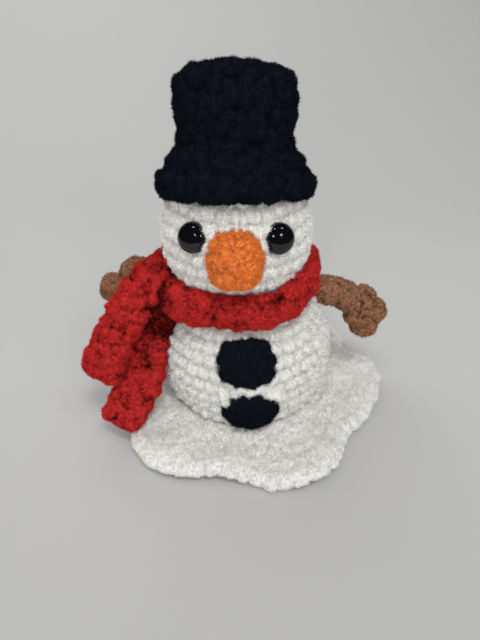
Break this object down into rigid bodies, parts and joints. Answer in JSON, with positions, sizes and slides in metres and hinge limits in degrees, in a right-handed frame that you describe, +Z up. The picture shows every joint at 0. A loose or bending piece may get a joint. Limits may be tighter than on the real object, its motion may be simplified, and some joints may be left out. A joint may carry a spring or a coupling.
{
  "type": "crocheted toy snowman",
  "caption": "Stuffed crocheted snowman in chunky chenille yarn with top hat, scarf, cone nose, twig arms and disc buttons, standing on a flat wavy melted-snow base.",
  "frame": {"origin": "on the flat underside of the base, under the middle of the body", "axes": "+Z up, -Y the way that the face looks, +X the toy's own left"},
  "size_m": [0.1894, 0.1733, 0.2029],
  "materials": {
    "white_yarn": "white chenille yarn with a short soft pile",
    "black_yarn": "black chenille yarn with a short soft pile",
    "red_yarn": "red chenille yarn with a short soft pile",
    "orange_yarn": "orange chenille yarn with a short soft pile",
    "brown_yarn": "brown chenille yarn with a short soft pile",
    "eye_plastic": "polished black plastic dome"
  },
  "bodies": {
    "root": {"puddle": "white_yarn", "body": "white_yarn", "head": "white_yarn", "hat": "black_yarn", "scarf": "red_yarn", "nose": "orange_yarn", "eye_left": "eye_plastic", "eye_right": "eye_plastic", "button_upper": "black_yarn", "button_lower": "black_yarn", "arm_left": "brown_yarn", "arm_right": "brown_yarn"}
  },
  "joints": []
}
